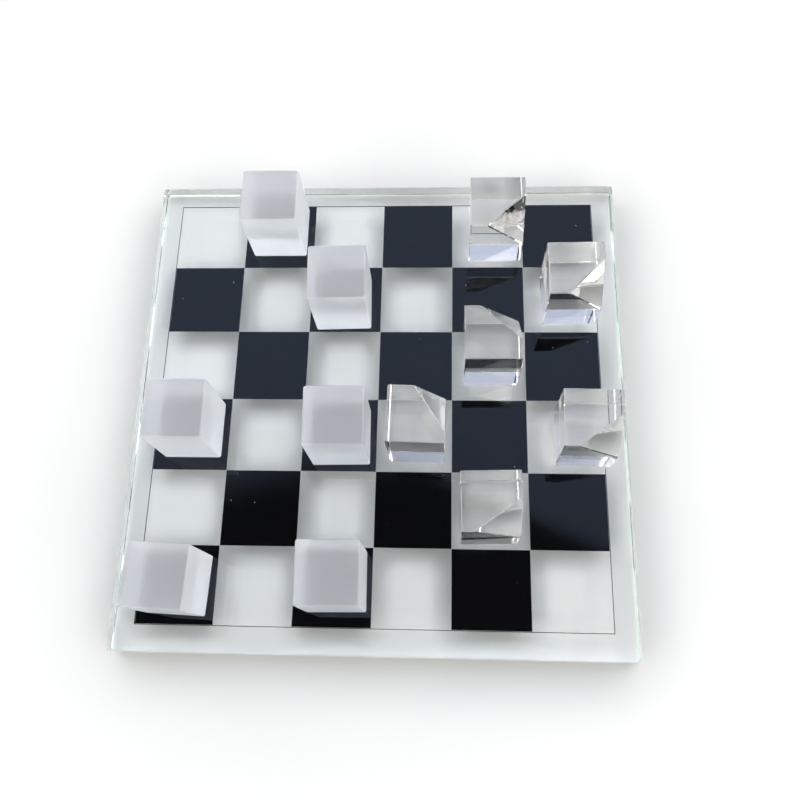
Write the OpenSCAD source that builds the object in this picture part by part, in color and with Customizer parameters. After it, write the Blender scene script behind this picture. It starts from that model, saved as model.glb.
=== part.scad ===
// Crystal board game set: a chequered glass slab with twelve block-shaped pieces standing on it.
// Millimetres, +Z up. The origin is the centre of the slab's underside, +X runs to the right along
// the near edge and +Y runs away from the near edge.
// Columns are lettered a to f from the left and rows are numbered 1 to 6 from the near edge.

/* [Board] */
// Side of one playing square
cell_w = 30; // [24:0.5:45]
// Clear border between the playing field and the slab's edge
margin = 10; // [5:0.5:25]
// Thickness of the crystal slab
slab_t = 11; // [6:0.5:25]
// Flat arris ground along every edge of the slab
slab_arris = 0.5; // [0.3:0.1:2]

/* [Enamel] */
// Depth of the enamel let into the slab's top
enamel_t = 0.3; // [0.2:0.05:0.8]
// Width of the thin line round the playing field
line_w = 0.25; // [0.2:0.05:1.5]
// Hairline of glass left round each dark square
hairline = 0.05; // [0.03:0.01:0.2]

/* [Pieces] */
// Side of a clear piece's square base
piece_w = 22; // [16:0.5:28]
// Height of a clear piece
piece_h = 30; // [20:0.5:60]
// Side of a frosted piece's square base
frosted_w = 22.8; // [16:0.2:28]
// Height of a frosted piece
frosted_h = 31; // [20:0.5:60]
// Flat arris along every edge of a piece
piece_arris = 0.5; // [0.2:0.1:1.5]
// How far the corner cut of a clear piece runs along its two top edges, on average
cut_top = 15; // [6:0.5:19]
// How far the corner cut of a clear piece runs down its upright edge
cut_down = 15.5; // [6:0.5:28]

/* [Hidden] */
COLUMNS = ["a", "b", "c", "d", "e", "f"];
ROWS = ["1", "2", "3", "4", "5", "6"];
count = len(COLUMNS);
field = count * cell_w;
slab_w = field + 2 * margin;

CRYSTAL = [0.86, 0.93, 0.90, 0.35];
BLACK = [0.03, 0.03, 0.04];
FROSTED = [0.88, 0.89, 0.93];
CLEAR = [0.78, 0.81, 0.84, 0.45];

// Where each piece stands: its column and row, counted from 0, how far it has been set from the
// middle of its square towards +X and +Y, and the angle it is turned by. The corner cuts are ground
// by hand, so a clear piece also has its cut's skew: how much further than the average the cut runs
// along the piece's front top edge, and how much less along its side.
FROSTED_PLACES = [
    [1, 5, 0.5, 2.0, 0],
    [2, 4, -0.5, -2.5, 1.5],
    [0, 2, 1.0, 1.5, 0],
    [2, 2, 1.0, -1.0, 1],
    [0, 0, 1.0, 0, -2.5],
    [2, 0, 1.5, 2.0, 1]
];
CLEAR_PLACES = [
    [4, 5, 3.0, -1.0, 0, 1],
    [5, 4, 3.0, -0.5, 1, 0],
    [4, 3, 0.5, 2.5, 90.5, -1],
    [3, 2, 1.5, 0, 88.5, 3],
    [5, 2, 6.5, -1.0, -1, 2.5],
    [4, 1, -1.0, -2.0, 1.5, 3]
];

// The near left corner square is dark, and colours alternate from there.
DARK_CELLS = [for (c = [0 : count - 1], r = [0 : count - 1]) if ((c + r) % 2 == 0) [c, r]];

function cell_name(cell) = str("dark_square_", COLUMNS[cell[0]], ROWS[cell[1]]);
function frosted_name(k) = str("frosted_piece_", k + 1);
function clear_name(k) = str("clear_piece_", k + 1);
function cell_centre(c, r) = [(c + 0.5) * cell_w - field / 2, (r + 0.5) * cell_w - field / 2];

// A rectangle, centred, with its four corners cut off at 45 degrees.
module cut_rectangle(x, y, cut)
    polygon([
        [x / 2 - cut, -y / 2], [x / 2, -y / 2 + cut],
        [x / 2, y / 2 - cut], [x / 2 - cut, y / 2],
        [-x / 2 + cut, y / 2], [-x / 2, y / 2 - cut],
        [-x / 2, -y / 2 + cut], [-x / 2 + cut, -y / 2]
    ]);

// A square block standing on z = 0 with a flat arris along all twelve edges: the shape that its
// plan and its two side views have in common.
module arrised_block(side, height, arris) {
    intersection() {
        linear_extrude(height) cut_rectangle(side, side, arris);
        translate([0, side / 2, height / 2]) rotate([90, 0, 0])
            linear_extrude(side) cut_rectangle(side, height, arris);
        translate([-side / 2, 0, height / 2]) rotate([90, 0, 90])
            linear_extrude(side) cut_rectangle(side, height, arris);
    }
}

// The enamel square of one cell, from a depth of enamel_t up to the slab's top, and beyond it by proud.
module cell_block(cell, proud = 0) {
    side = cell_w - 2 * hairline;
    at = cell_centre(cell[0], cell[1]);
    translate([at[0] - side / 2, at[1] - side / 2, slab_t - enamel_t])
        cube([side, side, enamel_t + proud]);
}

// The enamel line that frames the playing field, just outside it.
module line_block(proud = 0) {
    inner = field + 2 * hairline;
    translate([0, 0, slab_t - enamel_t]) linear_extrude(enamel_t + proud) difference() {
        square(inner + 2 * line_w, center = true);
        square(inner, center = true);
    }
}

// The half space beyond a clear piece's corner cut, at its corner towards +X and -Y. The cut's plane
// crosses the three edges that meet there, front leg and side leg from the corner along the top and
// cut_down below it.
module corner_cut(skew) {
    reach = 4 * (piece_w + piece_h);
    front = cut_top + skew;
    side = cut_top - skew;
    tilt = atan(cut_down * norm([1 / front, 1 / side]));
    translate([piece_w / 2, -piece_w / 2, piece_h - cut_down])
        rotate([0, tilt, -atan2(front, side)])
            translate([-reach / 2, -reach / 2, 0]) cube(reach);
}

// Carries a piece from the middle of the slab's underside to its place on the board.
module stand(place) {
    at = cell_centre(place[0], place[1]);
    translate([at[0] + place[2], at[1] + place[3], slab_t]) rotate([0, 0, place[4]]) children();
}

module slab() {
    above = 1;
    color(CRYSTAL) difference() {
        arrised_block(slab_w, slab_t, slab_arris);
        for (cell = DARK_CELLS) cell_block(cell, above);
        line_block(above);
    }
}

module border_line() {
    color(BLACK) line_block();
}

module dark_square(cell) {
    color(BLACK) cell_block(cell);
}

module frosted_piece(place) {
    color(FROSTED) stand(place) arrised_block(frosted_w, frosted_h, piece_arris);
}

module clear_piece(place) {
    color(CLEAR) stand(place) difference() {
        arrised_block(piece_w, piece_h, piece_arris);
        corner_cut(place[5]);
    }
}

slab();
border_line();
for (cell = DARK_CELLS)
    dark_square(cell);
for (k = [0 : len(FROSTED_PLACES) - 1])
    frosted_piece(FROSTED_PLACES[k]);
for (k = [0 : len(CLEAR_PLACES) - 1])
    clear_piece(CLEAR_PLACES[k]);
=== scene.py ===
"""Crystal board game set: a chequered slab with frosted and corner-cut clear blocks standing on it.

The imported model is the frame. Every block of crystal is remade here as a lapidary makes it, as the
solid that is left inside a set of flat ground faces, and the enamel squares of the frame stay with
a better finish. All sizes are in metres, in the frame's own axes.
"""

import itertools
import logging
import math
from dataclasses import dataclass
from enum import Enum

import bpy
import numpy as np
from mathutils import Matrix, Vector


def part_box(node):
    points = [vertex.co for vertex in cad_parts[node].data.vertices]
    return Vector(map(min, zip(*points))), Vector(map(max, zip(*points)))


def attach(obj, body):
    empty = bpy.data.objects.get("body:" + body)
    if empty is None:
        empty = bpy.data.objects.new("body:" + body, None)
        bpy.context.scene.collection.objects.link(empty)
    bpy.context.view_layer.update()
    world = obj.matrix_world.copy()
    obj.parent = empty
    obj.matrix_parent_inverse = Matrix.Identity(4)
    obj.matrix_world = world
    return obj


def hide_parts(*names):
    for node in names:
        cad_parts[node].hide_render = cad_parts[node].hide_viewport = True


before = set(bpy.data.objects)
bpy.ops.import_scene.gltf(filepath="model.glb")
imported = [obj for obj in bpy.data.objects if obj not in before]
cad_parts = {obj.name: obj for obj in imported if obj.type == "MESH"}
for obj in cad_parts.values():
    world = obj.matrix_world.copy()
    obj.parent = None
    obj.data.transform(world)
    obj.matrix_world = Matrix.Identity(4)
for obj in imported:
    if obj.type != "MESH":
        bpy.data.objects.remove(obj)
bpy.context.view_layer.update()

LOG = logging.getLogger("board_game_set")
MM = 0.001
AIR_FILM = 0.02 * MM
ARRIS_MARK = "arris"

Colour = tuple[float, float, float]

# Tolerances of the ground solids: the digits by which normals and points are told apart, the least
# determinant of three faces that meet in a point, and how far a point may be off a face.
NORMAL_DIGITS = 2
POINT_DIGITS = 9
LEAST_DETERMINANT = 1e-6
INSIDE_SLACK = 1e-8
ON_FACE_SLACK = 2e-8

# How deep a corner's facet is ground, in legs of the arrises that meet there.
CORNER_CUT = 1.12
# A face whose normal has a smaller Z than this is a base.
FACING_DOWN = -0.9


class Edge(Enum):
    """How the edges of a block are finished: the number of flat steps along each."""

    POLISHED = 1
    BLASTED = 3


# ---------------------------------------------------------------------------------------------
# Shapes: solids bounded by ground faces
# ---------------------------------------------------------------------------------------------


@dataclass
class GroundSolid:
    """A convex crystal, kept as the flat faces that it was ground to.

    Attributes:
        normals: One unit vector per face, pointing out of the crystal.
        reach: How far each face lies from the origin along its normal.
        marks: 1 for each face that is an arris, 0 for each main face.
    """

    normals: np.ndarray
    reach: np.ndarray
    marks: np.ndarray

    @classmethod
    def of_node(cls, node: str, smallest: float) -> "GroundSolid":
        """Reads the main faces of a convex CAD node off its triangles.

        Triangles whose normals and distances agree belong to one face.

        Args:
            node: The CAD node's name.
            smallest: The area, in square metres, below which a face isn't a main one.

        Returns:
            The solid inside the main faces, with sharp edges.
        """
        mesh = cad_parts[node].data
        count = len(mesh.polygons)
        normals, centres, areas = np.zeros(count * 3), np.zeros(count * 3), np.zeros(count)
        mesh.polygons.foreach_get("normal", normals)
        mesh.polygons.foreach_get("center", centres)
        mesh.polygons.foreach_get("area", areas)
        normals, centres = normals.reshape(-1, 3), centres.reshape(-1, 3)
        _, face = np.unique(normals.round(NORMAL_DIGITS), axis=0, return_inverse=True)
        face = face.ravel()
        area = np.bincount(face, areas)
        mean = np.stack([np.bincount(face, areas * normals[:, k]) for k in range(3)], axis=1)
        mean /= np.linalg.norm(mean, axis=1)[:, None]
        reach = np.bincount(face, areas * (centres * mean[face]).sum(1)) / area
        main = area > smallest
        return cls(mean[main], reach[main], np.zeros(main.sum()))

    def corners(self) -> np.ndarray:
        """Works out where three faces meet inside all the others, for every three at once.

        Returns:
            The corners, each once, as an array of points.
        """
        triples = np.array(list(itertools.combinations(range(len(self.reach)), 3)))
        sets = self.normals[triples]
        proper = np.abs(np.linalg.det(sets)) > LEAST_DETERMINANT
        points = np.linalg.solve(sets[proper], self.reach[triples[proper]][..., None])[..., 0]
        inside = (points @ self.normals.T <= self.reach + INSIDE_SLACK).all(axis=1)
        return np.unique(points[inside].round(POINT_DIGITS), axis=0)

    def shared(self, points: np.ndarray) -> np.ndarray:
        """Tells which corner lies on which face, as a table of corners by faces."""
        return np.abs(points @ self.normals.T - self.reach) < ON_FACE_SLACK

    def add(self, normals: np.ndarray, reach: np.ndarray, mark: float) -> "GroundSolid":
        """Returns this solid with further faces ground on it."""
        return GroundSolid(
            np.vstack([self.normals, normals]),
            np.concatenate([self.reach, reach]),
            np.concatenate([self.marks, np.full(len(reach), mark)]),
        )

    def arrised(self, leg: float, edge: Edge) -> "GroundSolid":
        """Grinds an arris along every edge, and a small facet on every corner.

        An arris face leans between its two main faces. Its normal runs from one main normal to
        the other in equal steps, and it touches a round edge that meets both faces a leg away
        from the sharp one. With a single step it is the flat between those two lines instead.
        A corner's facet looks the way that the sum of its main normals does.

        Args:
            leg: How far an arris runs over each main face.
            edge: How many steps it has.

        Returns:
            The solid with its arrises.
        """
        points = self.corners()
        on = self.shared(points)
        pairs = np.array([
            (a, b) for a, b in itertools.combinations(range(len(self.reach)), 2)
            if (on[:, a] & on[:, b]).sum() >= 2
        ])
        one, two = self.normals[pairs[:, 0]], self.normals[pairs[:, 1]]
        on_edge = np.stack([points[on[:, a] & on[:, b]][0] for a, b in pairs])
        half = np.arccos(np.clip((one * two).sum(1), -1, 1)) / 2
        middle = (one + two) / np.linalg.norm(one + two, axis=1)[:, None]
        across = (two - one) / np.linalg.norm(two - one, axis=1)[:, None]
        normals, reach = [], []
        radius = leg / np.tan(half)
        axis = on_edge - middle * (radius / np.cos(half))[:, None]
        for step in range(edge.value):
            lean = half * (2 * (step + 1) / (edge.value + 1) - 1)
            normal = middle * np.cos(lean)[:, None] + across * np.sin(lean)[:, None]
            flat = (normal * on_edge).sum(1) - leg * np.sin(half)
            tangent = (normal * axis).sum(1) + radius
            normals.append(normal)
            reach.append(flat if edge is Edge.POLISHED else tangent)
        solid = self.add(np.vstack(normals), np.concatenate(reach), 1.0)
        spread = on @ self.normals
        spread /= np.linalg.norm(spread, axis=1)[:, None]
        return solid.add(spread, (spread * points).sum(1) - leg * CORNER_CUT, 1.0)

    def mesh(self, name: str) -> bpy.types.Mesh:
        """Makes a mesh with one flat polygon per ground face.

        The corners that lie on a face are put in order by their angle round its middle, so that
        each polygon runs anticlockwise as seen from outside.

        Args:
            name: The mesh's name.

        Returns:
            The mesh, with the arrises marked in a face attribute.
        """
        points = self.corners()
        on = self.shared(points)
        faces, marks = [], []
        for k, normal in enumerate(self.normals):
            own = np.flatnonzero(on[:, k])
            if len(own) < 3:
                continue
            spokes = points[own] - points[own].mean(axis=0)
            east = spokes[0] / np.linalg.norm(spokes[0])
            north = np.cross(normal, east)
            turn = np.arctan2(spokes @ north, spokes @ east)
            faces.append(own[np.argsort(turn)].tolist())
            marks.append(self.marks[k])
        mesh = bpy.data.meshes.new(name)
        mesh.from_pydata(points.tolist(), [], faces)
        mesh.attributes.new(ARRIS_MARK, "FLOAT", "FACE").data.foreach_set("value", marks)
        mesh.update()
        return mesh


@dataclass
class RoundedSlab:
    """A flat square slab: an outline with rounded corners and a profile carried round it.

    Attributes:
        low: The slab's lowest corner, before its corners are rounded.
        high: Its highest corner.
        corner: Radius of its four upright edges.
        arris: Leg of the flat ground along its top and bottom edges.
        steps: How many flat steps make up one rounded corner.
    """

    low: Vector
    high: Vector
    corner: float
    arris: float
    steps: int = 12

    def points(self) -> np.ndarray:
        """Works out every point of the side as a function of two parameters.

        Along the outline the parameter is an angle t, and the point is the middle of the nearest
        corner's circle plus that circle's radius times (cos t, sin t). Up the profile the circle's
        radius shrinks by the inset of the profile's point, so the arris stays the same width.

        Returns:
            An array of profile points by outline points by 3.
        """
        quarter = np.linspace(0, math.pi / 2, self.steps + 1)
        turn = (np.arange(4)[:, None] * math.pi / 2 + quarter).ravel()
        middle = (Vector(self.low) + Vector(self.high)) / 2
        half = np.array([self.high.x - middle.x, self.high.y - middle.y]) - self.corner
        way = np.repeat([[1, 1], [-1, 1], [-1, -1], [1, -1]], self.steps + 1, axis=0)
        centres = np.array([middle.x, middle.y]) + way * half
        inset = np.array([self.arris, 0.0, 0.0, self.arris])
        height = np.array([self.low.z, self.low.z + self.arris, self.high.z - self.arris, self.high.z])
        spokes = np.stack([np.cos(turn), np.sin(turn)], axis=1)
        flat = centres + (self.corner - inset)[:, None, None] * spokes
        upright = np.broadcast_to(height[:, None, None], (*flat.shape[:2], 1))
        return np.concatenate([flat, upright], axis=2)

    def mesh(self, name: str) -> bpy.types.Mesh:
        """Makes the slab's mesh: the carried profile, closed by a face below and one above.

        Args:
            name: The mesh's name.

        Returns:
            The mesh.
        """
        points = self.points()
        rows, count = points.shape[:2]
        index = np.arange(rows * count).reshape(rows, count)
        ahead = np.roll(index, -1, axis=1)
        sides = np.stack([index[:-1], ahead[:-1], ahead[1:], index[1:]], axis=-1).reshape(-1, 4)
        mesh = bpy.data.meshes.new(name)
        caps = [index[0, ::-1].tolist(), index[-1].tolist()]
        mesh.from_pydata(points.reshape(-1, 3).tolist(), [], sides.tolist() + caps)
        mesh.update()
        return mesh


def place(name: str, mesh: bpy.types.Mesh, finish: bpy.types.Material) -> bpy.types.Object:
    """Puts a mesh into the scene with its finish.

    Args:
        name: The object's name.
        mesh: Its mesh, already where it belongs.
        finish: Its material.

    Returns:
        The new object, at the origin.
    """
    piece = bpy.data.objects.new(name, mesh)
    bpy.context.scene.collection.objects.link(piece)
    mesh.materials.append(finish)
    return piece


# ---------------------------------------------------------------------------------------------
# Node graphs and shared surface effects
# ---------------------------------------------------------------------------------------------


@dataclass(frozen=True)
class Ramp:
    """A smooth rise or fall of a value.

    Attributes:
        low: Where it begins.
        high: Where it ends.
        start: The result at and before low.
        end: The result at and after high.
    """

    low: float
    high: float
    start: float = 0.0
    end: float = 1.0


@dataclass
class Graph:
    """A node tree with short ways to add to it: nodes are named by type, and inputs take sockets."""

    tree: bpy.types.NodeTree

    def add(self, kind: str, inputs: dict | None = None, **settings: object) -> bpy.types.Node:
        """Adds a node.

        Args:
            kind: The node's type name.
            inputs: What each input gets, by name or number: a plain value or an output socket.
            **settings: Properties of the node itself.

        Returns:
            The new node.
        """
        node = self.tree.nodes.new(kind)
        for key, value in settings.items():
            setattr(node, key, value)
        for key, value in (inputs or {}).items():
            self.feed(node.inputs[key], value)
        return node

    def feed(self, socket: bpy.types.NodeSocket, value: object) -> None:
        """Links an output socket to an input, or sets the input to a plain value."""
        if isinstance(value, bpy.types.NodeSocket):
            self.tree.links.new(value, socket)
        else:
            socket.default_value = value

    def math(self, operation: str, *values: object) -> bpy.types.NodeSocket:
        """Adds a Math node and returns its result."""
        return self.add("ShaderNodeMath", dict(enumerate(values)), operation=operation).outputs[0]

    def ramp(self, value: object, ramp: Ramp) -> bpy.types.NodeSocket:
        """Carries a value over a ramp and returns the result."""
        inputs = {"Value": value, "From Min": ramp.low, "From Max": ramp.high,
                  "To Min": ramp.start, "To Max": ramp.end}
        node = self.add("ShaderNodeMapRange", inputs, interpolation_type="SMOOTHSTEP")
        return node.outputs["Result"]

    def mix(self, share: object, one: object, two: object) -> bpy.types.NodeSocket:
        """Mixes two colours and returns the result."""
        # The sockets go by number, because several of this node's sockets share a name.
        node = self.add("ShaderNodeMix", data_type="RGBA")
        share_slot, one_slot, two_slot, result_slot = 0, 6, 7, 2
        for slot, value in ((share_slot, share), (one_slot, one), (two_slot, two)):
            self.feed(node.inputs[slot], value)
        return node.outputs[result_slot]

    def scale(self, colour: object, by: object) -> bpy.types.NodeSocket:
        """Multiplies a colour by a value and returns the result."""
        node = self.add("ShaderNodeVectorMath", {0: colour, "Scale": by}, operation="SCALE")
        return node.outputs[0]

    def dot(self, one: object, two: object) -> bpy.types.NodeSocket:
        """Works out the dot product of two directions and returns it."""
        node = self.add("ShaderNodeVectorMath", {0: one, 1: two}, operation="DOT_PRODUCT")
        return node.outputs["Value"]

    def noise(self, where: object, scale: object, detail: float = 2.0,
              roughness: float = 0.5) -> bpy.types.NodeSocket:
        """Adds a Noise Texture and returns its value."""
        inputs = {"Vector": where, "Scale": scale, "Detail": detail, "Roughness": roughness}
        return self.add("ShaderNodeTexNoise", inputs).outputs[0]


@dataclass(frozen=True)
class Effect:
    """A shared surface effect: the name of its node group and the inputs and outputs it has."""

    name: str
    inputs: tuple[tuple[str, str, float | None], ...]
    outputs: tuple[tuple[str, str], ...]

    def start(self) -> tuple[Graph, bpy.types.Node, bpy.types.Node]:
        """Makes the empty node group.

        Returns:
            Its graph, its input node and its output node.
        """
        tree = bpy.data.node_groups.new(self.name, "ShaderNodeTree")
        for name, kind, value in self.inputs:
            socket = tree.interface.new_socket(name, in_out="INPUT", socket_type=kind)
            if value is not None:
                socket.default_value = value
        for name, kind in self.outputs:
            tree.interface.new_socket(name, in_out="OUTPUT", socket_type=kind)
        graph = Graph(tree)
        return graph, graph.add("NodeGroupInput"), graph.add("NodeGroupOutput")

    def use(self, graph: Graph, **inputs: object) -> bpy.types.Node:
        """Places the effect in a material.

        Args:
            graph: The material's graph.
            **inputs: The value or socket for each input, with underscores for its name's spaces.

        Returns:
            The group node.
        """
        node = graph.add("ShaderNodeGroup", node_tree=bpy.data.node_groups[self.name])
        for key, value in inputs.items():
            graph.feed(node.inputs[key.replace("_", " ")], value)
        return node


VECTOR, FLOAT = "NodeSocketVector", "NodeSocketFloat"
MIDDLE = Ramp(low=0.3, high=0.7)

HANDLING = Effect(
    "handling_marks",
    (("Where", VECTOR, None), ("Size", FLOAT, 90.0), ("Clean", FLOAT, 0.0), ("Marked", FLOAT, 0.1)),
    (("Roughness", FLOAT), ("Mask", FLOAT)),
)
RIPPLE = Effect(
    "polish_ripple",
    (("Where", VECTOR, None), ("Size", FLOAT, 60.0), ("Depth", FLOAT, 0.02)),
    (("Normal", VECTOR),),
)
GRAIN = Effect(
    "blasted_grain",
    (("Where", VECTOR, None), ("Size", FLOAT, 4000.0), ("Depth", FLOAT, 0.1)),
    (("Normal", VECTOR), ("Tone", FLOAT)),
)
DUST = Effect(
    "dust_specks",
    (("Where", VECTOR, None), ("Size", FLOAT, 300.0), ("Share", FLOAT, 0.04)),
    (("Mask", FLOAT),),
)


def build_handling() -> None:
    """Makes the marks of handling: cloudy patches, streaked where they were wiped."""
    graph, given, result = HANDLING.start()
    where, size = given.outputs["Where"], given.outputs["Size"]
    cloud = graph.noise(where, size, detail=5.0, roughness=0.6)
    wipe = graph.add("ShaderNodeMapping", {"Vector": where, "Scale": (1.0, 7.0, 1.0)})
    streak = graph.noise(wipe.outputs[0], size, detail=3.0)
    patch = graph.ramp(cloud, Ramp(low=0.52, high=0.7))
    wiped = graph.ramp(streak, Ramp(low=0.35, high=0.75, start=0.3, end=1.0))
    mask = graph.math("MULTIPLY", patch, wiped)
    spread = graph.math("SUBTRACT", given.outputs["Marked"], given.outputs["Clean"])
    rough = graph.math("MULTIPLY_ADD", mask, spread, given.outputs["Clean"])
    graph.feed(result.inputs["Roughness"], rough)
    graph.feed(result.inputs["Mask"], mask)


def build_ripple() -> None:
    """Makes the slow ripple that polishing, or a coat that has flowed out, leaves in a surface."""
    graph, given, result = RIPPLE.start()
    height = graph.noise(given.outputs["Where"], given.outputs["Size"], detail=1.0)
    bump = graph.add("ShaderNodeBump", {
        "Height": height, "Strength": given.outputs["Depth"], "Distance": 0.2 * MM})
    graph.feed(result.inputs["Normal"], bump.outputs[0])


def build_grain() -> None:
    """Makes the fine grain of a blasted surface."""
    graph, given, result = GRAIN.start()
    grain = graph.noise(given.outputs["Where"], given.outputs["Size"], detail=3.0, roughness=0.65)
    bump = graph.add("ShaderNodeBump", {
        "Height": grain, "Strength": given.outputs["Depth"], "Distance": 0.05 * MM})
    graph.feed(result.inputs["Normal"], bump.outputs[0])
    graph.feed(result.inputs["Tone"], graph.ramp(grain, MIDDLE))


def build_dust() -> None:
    """Makes specks of dust: a round one in the middle of each chosen cell."""
    graph, given, result = DUST.start()
    cells = graph.add("ShaderNodeTexVoronoi", {
        "Vector": given.outputs["Where"], "Scale": given.outputs["Size"], "Randomness": 1.0})
    lot = graph.add("ShaderNodeSeparateColor", {"Color": cells.outputs["Color"]})
    chosen = graph.math("LESS_THAN", lot.outputs[0], given.outputs["Share"])
    speck = graph.ramp(cells.outputs["Distance"], Ramp(low=0.05, high=0.14, start=1.0, end=0.0))
    graph.feed(result.inputs["Mask"], graph.math("MULTIPLY", chosen, speck))


# ---------------------------------------------------------------------------------------------
# Finishes
# ---------------------------------------------------------------------------------------------


def new_material(name: str) -> tuple[bpy.types.Material, Graph, bpy.types.NodeSocket, bpy.types.Node]:
    """Starts a material.

    Args:
        name: The material's name.

    Returns:
        The material, its graph, its Object coordinates and its Material Output node.
    """
    material = bpy.data.materials.new(name)
    material.use_nodes = True
    material.node_tree.nodes.clear()
    graph = Graph(material.node_tree)
    where = graph.add("ShaderNodeTexCoord").outputs["Object"]
    return material, graph, where, graph.add("ShaderNodeOutputMaterial")


@dataclass(frozen=True)
class PolishedCrystal:
    """Clear polished crystal: sharp refraction, a faint tint in its depth and marks of handling.

    Attributes:
        name: The material's name.
        tint: The colour that light takes on in its depth.
        density: How fast it does so, per metre.
        ripple: Strength of the polish ripple.
        marked: Roughness where it has been handled most.
        ior: Refractive index.
        clean: Roughness where it hasn't been handled.
    """

    name: str
    tint: Colour
    density: float
    ripple: float = 0.002
    marked: float = 0.03
    ior: float = 1.517
    clean: float = 0.0

    def build(self) -> bpy.types.Material:
        """Makes the material."""
        material, graph, where, out = new_material(self.name)
        marks = HANDLING.use(graph, Where=where, Size=70.0, Clean=self.clean, Marked=self.marked)
        wave = RIPPLE.use(graph, Where=where, Size=55.0, Depth=self.ripple)
        shader = graph.add("ShaderNodeBsdfPrincipled", {
            "Base Color": (1.0, 1.0, 1.0, 1.0), "IOR": self.ior, "Transmission Weight": 1.0,
            "Roughness": marks.outputs["Roughness"], "Normal": wave.outputs["Normal"]})
        depth = graph.add("ShaderNodeVolumeAbsorption", {
            "Color": (*self.tint, 1.0), "Density": self.density})
        graph.feed(out.inputs["Surface"], shader.outputs[0])
        graph.feed(out.inputs["Volume"], depth.outputs[0])
        return material


@dataclass(frozen=True)
class FrostedCrystal:
    """Sandblasted crystal: a satin skin that scatters light, on a body that still lets it through.

    Attributes:
        name: The material's name.
        skin: Colour of the main faces.
        arris: Colour of the edges, lighter than the skin: a painted highlight along them.
        through: Share of the light that is let through.
        roughness: Mean roughness.
        uneven: How far the grain takes the roughness to either side of that.
        cloudy: What is left of the skin's brightness in its duller patches.
        ior: Refractive index.
    """

    name: str
    skin: Colour
    arris: Colour
    through: float
    roughness: float
    uneven: float = 0.05
    cloudy: float = 0.97
    ior: float = 1.5

    def build(self) -> bpy.types.Material:
        """Makes the material."""
        material, graph, where, out = new_material(self.name)
        grain = GRAIN.use(graph, Where=where, Size=5200.0, Depth=0.25)
        cloud = graph.noise(where, scale=120.0, detail=3.0)
        dim = (*(self.cloudy * c for c in self.skin), 1.0)
        tone = graph.mix(graph.ramp(cloud, MIDDLE), dim, (*self.skin, 1.0))
        # Arris faces take the lighter arris colour: a painted highlight along the edges.
        edge_highlight = graph.add("ShaderNodeAttribute", attribute_name=ARRIS_MARK).outputs["Fac"]
        colour = graph.mix(edge_highlight, tone, (*self.arris, 1.0))
        rough = graph.ramp(grain.outputs["Tone"], Ramp(
            low=0.0, high=1.0, start=self.roughness - self.uneven, end=self.roughness + self.uneven))
        shader = graph.add("ShaderNodeBsdfPrincipled", {
            "Base Color": colour, "Roughness": rough, "IOR": self.ior,
            "Transmission Weight": self.through, "Normal": grain.outputs["Normal"]})
        graph.feed(out.inputs["Surface"], shader.outputs[0])
        return material


@dataclass(frozen=True)
class BlackEnamel:
    """Glossy black enamel: a smooth deep black with a faint flow ripple and a few specks of dust.

    Attributes:
        name: The material's name.
        colour: The enamel's own colour.
        dust: Colour of the specks.
        roughness: Roughness where it is clean.
        wear: How much handling adds to that.
        ior: Refractive index.
        painted_reflection_tint: A blue tint on its mirror image, a painted reflection colour standing
            in for the bluish room that it reflects.
    """

    name: str
    colour: Colour
    dust: Colour
    roughness: float
    wear: float = 0.05
    ior: float = 1.49
    painted_reflection_tint: Colour = (0.71, 0.83, 1.0)

    def build(self) -> bpy.types.Material:
        """Makes the material."""
        material, graph, where, out = new_material(self.name)
        marks = HANDLING.use(graph, Where=where, Size=45.0, Clean=self.roughness,
                             Marked=self.roughness + self.wear)
        wave = RIPPLE.use(graph, Where=where, Size=180.0, Depth=0.03)
        specks = DUST.use(graph, Where=where, Size=420.0, Share=0.02)
        colour = graph.mix(specks.outputs["Mask"], (*self.colour, 1.0), (*self.dust, 1.0))
        shader = graph.add("ShaderNodeBsdfPrincipled", {
            "Base Color": colour, "Roughness": marks.outputs["Roughness"], "IOR": self.ior,
            # The specular tint is a painted reflection colour: it turns the mirror image bluish,
            # standing in for the bluish room that it reflects.
            "Specular Tint": (*self.painted_reflection_tint, 1.0), "Normal": wave.outputs["Normal"]})
        graph.feed(out.inputs["Surface"], shader.outputs[0])
        return material


@dataclass(frozen=True)
class PaleFloor:
    """A plain matt pale floor, painted darker away from the set: painted shade for the light falling
    off.

    Attributes:
        name: The material's name.
        colour: Its colour near the set.
        far: Its colour far away, darker than near the set: painted shade.
        painted_shade_fall: At which distances from the set the one turns into the other, the span of
            the painted shade.
        roughness: Its roughness.
        specular: How glossy it is, where 0.5 is an ordinary coat.
    """

    name: str
    colour: Colour
    far: Colour
    painted_shade_fall: Ramp = Ramp(low=0.22, high=0.6)
    roughness: float = 0.9
    specular: float = 0.1

    def build(self) -> bpy.types.Material:
        """Makes the material."""
        material, graph, where, out = new_material(self.name)
        away = graph.add("ShaderNodeVectorMath", {0: where}, operation="LENGTH").outputs["Value"]
        # The floor's colour darkens with distance from the set: painted shade of the light falling
        # off.
        colour = graph.mix(graph.ramp(away, self.painted_shade_fall), (*self.colour, 1.0), (*self.far, 1.0))
        shader = graph.add("ShaderNodeBsdfPrincipled", {
            "Base Color": colour, "Roughness": self.roughness, "Specular IOR Level": self.specular})
        graph.feed(out.inputs["Surface"], shader.outputs[0])
        return material


# ---------------------------------------------------------------------------------------------
# Sub-assemblies
# ---------------------------------------------------------------------------------------------


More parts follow.
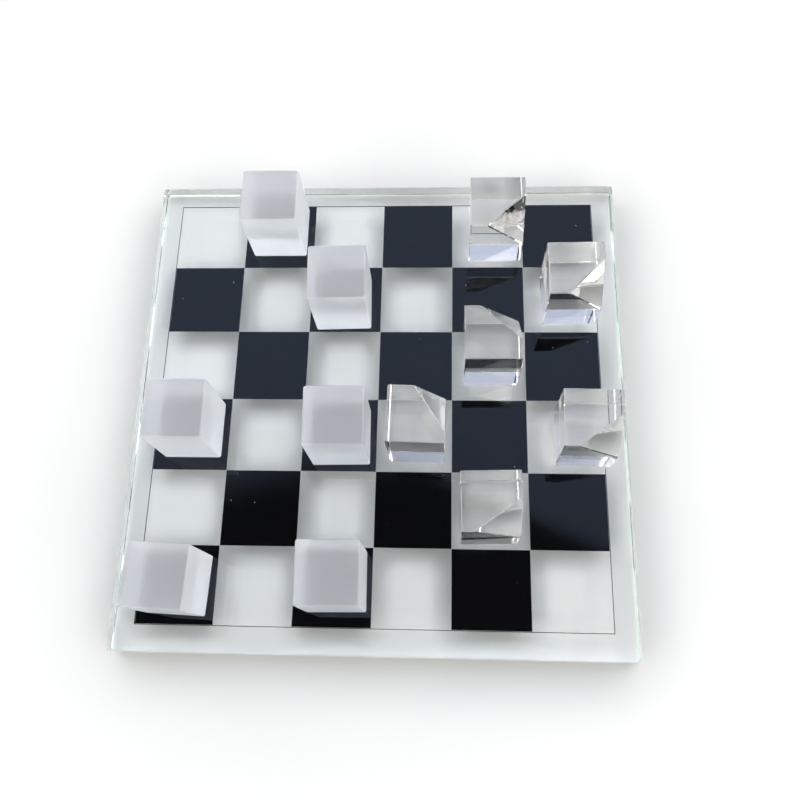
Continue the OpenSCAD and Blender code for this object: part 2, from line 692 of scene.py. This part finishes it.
@dataclass
class PlayingBoard:
    """The crystal slab and the enamel let into its top.

    Attributes:
        arris: Leg of the flat along the slab's top and bottom edges.
        corner: Radius of its upright edges.
        glass: The slab's finish.
        enamel: The finish of the dark squares and the border line.
    """

    arris: float = 0.5 * MM
    corner: float = 1.3 * MM
    glass: PolishedCrystal = PolishedCrystal(
        "slab_crystal", tint=(0.40, 0.62, 0.55), density=6.0)
    enamel: BlackEnamel = BlackEnamel(
        "black_enamel", colour=(0.0028, 0.0028, 0.003), dust=(0.25, 0.24, 0.23), roughness=0.03)

    def build(self) -> None:
        """Makes the slab and finishes the enamel."""
        low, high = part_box("slab")
        shape = RoundedSlab(low, high - Vector((0, 0, AIR_FILM)), self.corner, self.arris)
        slab = place("crystal_slab", shape.mesh("crystal_slab"), self.glass.build())
        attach(slab, "board")
        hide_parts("slab")
        LOG.info("crystal_slab: %d faces", len(slab.data.polygons))
        black = self.enamel.build()
        for node in self.enamel_nodes():
            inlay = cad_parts[node]
            inlay.data.materials.clear()
            inlay.data.materials.append(black)
            LOG.info("%s: enamel", node)

    @staticmethod
    def enamel_nodes() -> list[str]:
        """Lists the CAD nodes that are enamel."""
        return sorted(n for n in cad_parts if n.startswith(("dark_square", "border_line")))


@dataclass
class BlockPieces:
    """One side's loose pieces: blocks of crystal of one shape and finish.

    Attributes:
        prefix: What the names of their CAD nodes begin with.
        edge: How their edges are finished.
        arris: How far an arris runs over each main face.
        finish: Their finish.
        slot: The name of a material slot; not used.
        smallest_face: The area below which a face of the CAD node is an arris.
    """

    prefix: str
    edge: Edge
    arris: float
    finish: PolishedCrystal | FrostedCrystal
    slot: str
    smallest_face: float = 100 * MM * MM

    def build(self) -> None:
        """Makes every piece whose CAD node has this side's name."""
        material = self.finish.build()
        for node in sorted(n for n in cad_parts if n.startswith(self.prefix)):
            self.build_one(node, material)

    def build_one(self, node: str, material: bpy.types.Material) -> None:
        """Makes one piece, lifted off the board by the air film under it.

        Args:
            node: The CAD node that it stands for, which is also its body's name.
            material: Its finish.
        """
        solid = GroundSolid.of_node(node, self.smallest_face)
        solid.reach[solid.normals[:, 2] < FACING_DOWN] -= AIR_FILM
        mesh = solid.arrised(self.arris, self.edge).mesh(f"{node}_block")
        piece = place(f"{node}_block", mesh, material)
        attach(piece, node)
        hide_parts(node)
        LOG.info("%s: %d faces", piece.name, len(mesh.polygons))


# ---------------------------------------------------------------------------------------------
# Studio
# ---------------------------------------------------------------------------------------------


@dataclass(frozen=True)
class Room:
    """The light: a room whose walls, lamps and ceiling are drawn in the sky round the set.

    Every ramp runs over one coordinate of the direction looked in, a unit vector, or over its dot
    product with another direction.

    Attributes:
        horizon: Colour and brightness of the walls at the height of the set.
        surround: Colour and brightness of the lamps higher up on the walls.
        ceiling: Colour and brightness of the ceiling.
        backdrop: What the camera itself sees beyond the floor.
        walls_to_lamps: At which heights the walls turn into lamps.
        lamps_to_ceiling: At which heights the lamps turn into ceiling.
        ceiling_far: How the ceiling grows brighter towards the far side.
        viewer: What is left of the walls and lamps where the viewer stands, on the near side.
        viewer_side: How far to +X the viewer's middle lies.
        viewer_width: How far to each side of that middle the viewer reaches.
        viewer_depth: How far to the near side the viewer begins.
        shade: What is left of the ceiling behind the shade.
        shade_middle: The direction that the shade hangs in.
        shade_cone: How near to its middle a direction has to be to lie behind it.
        shade_across: Across which direction the shade's straight edge runs.
        shade_edge: How far that way the edge lies.
    """

    horizon: Colour = (1.7, 1.68, 1.61)
    surround: Colour = (4.25, 4.2, 4.01)
    ceiling: Colour = (0.68, 0.75, 0.94)
    backdrop: Colour = (0.62, 0.61, 0.59)
    walls_to_lamps: Ramp = Ramp(low=0.24, high=0.4)
    lamps_to_ceiling: Ramp = Ramp(low=0.45, high=0.72, start=1.0, end=0.0)
    ceiling_far: Ramp = Ramp(low=0.05, high=0.4, start=0.72, end=1.08)
    viewer: float = 0.2
    viewer_side: float = -0.08
    viewer_width: Ramp = Ramp(low=0.2, high=0.34, start=1.0, end=0.0)
    viewer_depth: Ramp = Ramp(low=-0.75, high=-0.5, start=1.0, end=0.0)
    shade: float = 0.03
    shade_middle: Colour = (-0.03, -0.37, 0.93)
    shade_cone: Ramp = Ramp(low=0.78, high=0.84)
    shade_across: Colour = (0.407, 0.914, 0.0)
    shade_edge: Ramp = Ramp(low=0.185, high=0.225, start=1.0, end=0.0)

    def build(self) -> None:
        """Makes the world: walls below, the ceiling above, and a plain backdrop for the camera."""
        world = bpy.data.worlds.new("studio")
        world.use_nodes = True
        world.node_tree.nodes.clear()
        graph = Graph(world.node_tree)
        toward = graph.add("ShaderNodeTexCoord").outputs["Generated"]
        way = graph.add("ShaderNodeSeparateXYZ", {"Vector": toward}).outputs
        walls = self.build_walls(graph, way["X"], way["Y"], way["Z"])
        ceiling = self.build_ceiling(graph, toward, way["Y"])
        room = graph.mix(graph.ramp(way["Z"], self.lamps_to_ceiling), ceiling, walls)
        seen = graph.add("ShaderNodeLightPath").outputs["Is Camera Ray"]
        colour = graph.mix(seen, room, (*self.backdrop, 1.0))
        sky = graph.add("ShaderNodeBackground", {"Color": colour})
        out = graph.add("ShaderNodeOutputWorld")
        graph.feed(out.inputs["Surface"], sky.outputs[0])
        bpy.context.scene.world = world

    def build_walls(self, graph: Graph, aside: bpy.types.NodeSocket, far: bpy.types.NodeSocket,
                    height: bpy.types.NodeSocket) -> bpy.types.NodeSocket:
        """Works out the walls and the lamps on them, dimmed in a narrow strip by the viewer.

        Args:
            graph: The world's graph.
            aside: The direction's X.
            far: Its Y.
            height: Its Z.

        Returns:
            The colour in each direction.
        """
        walls = graph.mix(graph.ramp(height, self.walls_to_lamps), (*self.horizon, 1.0),
                          (*self.surround, 1.0))
        apart = graph.math("ABSOLUTE", graph.math("SUBTRACT", aside, self.viewer_side))
        behind = graph.math("MULTIPLY", graph.ramp(apart, self.viewer_width),
                            graph.ramp(far, self.viewer_depth))
        left = graph.ramp(behind, Ramp(low=0.0, high=1.0, start=1.0, end=self.viewer))
        return graph.scale(walls, left)

    def build_ceiling(self, graph: Graph, toward: bpy.types.NodeSocket,
                      far: bpy.types.NodeSocket) -> bpy.types.NodeSocket:
        """Works out the ceiling, with the shade that hangs below it.

        A direction is behind the shade if it lies within a cone round the shade's middle and on
        the near side of the shade's straight edge.

        Args:
            graph: The world's graph.
            toward: The direction.
            far: Its Y.

        Returns:
            The colour in each direction.
        """
        cone = graph.ramp(graph.dot(toward, self.shade_middle), self.shade_cone)
        edge = graph.ramp(graph.dot(toward, self.shade_across), self.shade_edge)
        shaded = graph.math("MULTIPLY", cone, edge)
        left = graph.ramp(shaded, Ramp(low=0.0, high=1.0, start=1.0, end=self.shade))
        lit = graph.math("MULTIPLY", left, graph.ramp(far, self.ceiling_far))
        return graph.scale(self.ceiling, lit)


@dataclass(frozen=True)
class StudioCamera:
    """The camera, aimed at a point on the board's top.

    Attributes:
        aside: How far to +X of the board's middle the aim lies.
        lens: Focal length in millimetres.
        sensor: Width of the sensor in millimetres.
        nearest: How near a thing may be and still be seen.
        distance: How far the camera stands from the aim.
        azimuth: How far round to +X it stands, in degrees.
        elevation: How high it stands above the horizon, in degrees.
        roll: How far it is turned about its own line of sight, in degrees.
    """

    aside: float = 8.9 * MM
    lens: float = 37.12
    sensor: float = 36.0
    nearest: float = 10 * MM
    distance: float = 0.3361
    azimuth: float = 9.54
    elevation: float = 71.49
    roll: float = -8.7

    def build(self) -> None:
        """Makes the camera."""
        aim = Vector((self.aside, 0.0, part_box("slab")[1].z))
        a, e = math.radians(self.azimuth), math.radians(self.elevation)
        back = Vector((math.sin(a) * math.cos(e), -math.cos(a) * math.cos(e), math.sin(e)))
        turn = (-back).to_track_quat("-Z", "Y").to_matrix()
        turn = turn @ Matrix.Rotation(math.radians(self.roll), 3, "Z")
        data = bpy.data.cameras.new("camera")
        data.lens, data.sensor_width, data.clip_start = self.lens, self.sensor, self.nearest
        camera = bpy.data.objects.new("camera", data)
        camera.matrix_world = Matrix.LocRotScale(aim + back * self.distance, turn, None)
        bpy.context.scene.collection.objects.link(camera)
        bpy.context.scene.camera = camera


@dataclass
class Studio:
    """A pale floor, the light and the camera.

    Attributes:
        floor: The floor's finish.
        floor_radius: How far the floor reaches.
        floor_sides: How many straight sides its round rim is made of.
        floor_gap: How far below the slab it lies.
        room: The light.
        camera: The camera.
        bounces: How often light may turn inside the crystal before it is given up. Light that runs
            along inside the slab turns many times before it comes out of a side.
    """

    # The darker far colour of the floor is painted shade away from the set.
    floor: PaleFloor = PaleFloor(
        "pale_floor", colour=(0.785, 0.78, 0.77), far=(0.36, 0.357, 0.35))
    floor_radius: float = 4.0
    floor_sides: int = 96
    floor_gap: float = 2.5 * AIR_FILM
    room: Room = Room()
    camera: StudioCamera = StudioCamera()
    bounces: int = 16

    def build(self) -> None:
        """Makes the floor, the light and the camera."""
        self.build_floor()
        self.room.build()
        self.camera.build()
        self.set_light_paths()

    def build_floor(self) -> None:
        """Makes the floor as a disc just under the slab."""
        turn = np.linspace(0, 2 * math.pi, self.floor_sides, endpoint=False)
        rim = np.stack([np.cos(turn), np.sin(turn), 0 * turn], axis=1) * self.floor_radius
        rim[:, 2] = -self.floor_gap
        mesh = bpy.data.meshes.new("floor")
        mesh.from_pydata(rim.tolist(), [], [list(range(len(turn)))])
        place("floor", mesh, self.floor.build())

    def set_light_paths(self) -> None:
        """Lets light through the crystal unblurred and far enough, and keeps near-white near white."""
        scene = bpy.context.scene
        scene.view_settings.view_transform = "Standard"
        scene.cycles.blur_glossy = 0.0
        scene.cycles.max_bounces = self.bounces
        scene.cycles.glossy_bounces = self.bounces
        scene.cycles.transmission_bounces = self.bounces


def main() -> None:
    """Builds the set in order and logs each piece."""
    logging.basicConfig(level=logging.INFO, format="%(name)s: %(message)s")
    for build_effect in (build_handling, build_ripple, build_grain, build_dust):
        build_effect()
    Studio().build()
    PlayingBoard().build()
    BlockPieces(
        "frosted_piece", Edge.BLASTED, 0.6 * MM,
        # The lighter arris colour of the frosted pieces is a painted highlight along their edges.
        FrostedCrystal("frosted_crystal", skin=(0.92, 0.94, 0.975), arris=(0.97, 0.97, 0.98),
                       through=0.81, roughness=0.41),
        "frosted_crystal",
    ).build()
    BlockPieces(
        "clear_piece", Edge.POLISHED, 0.3 * MM,
        PolishedCrystal("clear_crystal", tint=(0.42, 0.39, 0.38), density=7.5, ior=1.6),
        "clear_crystal",
    ).build()
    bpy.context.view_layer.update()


if __name__ == "__main__":
    main()
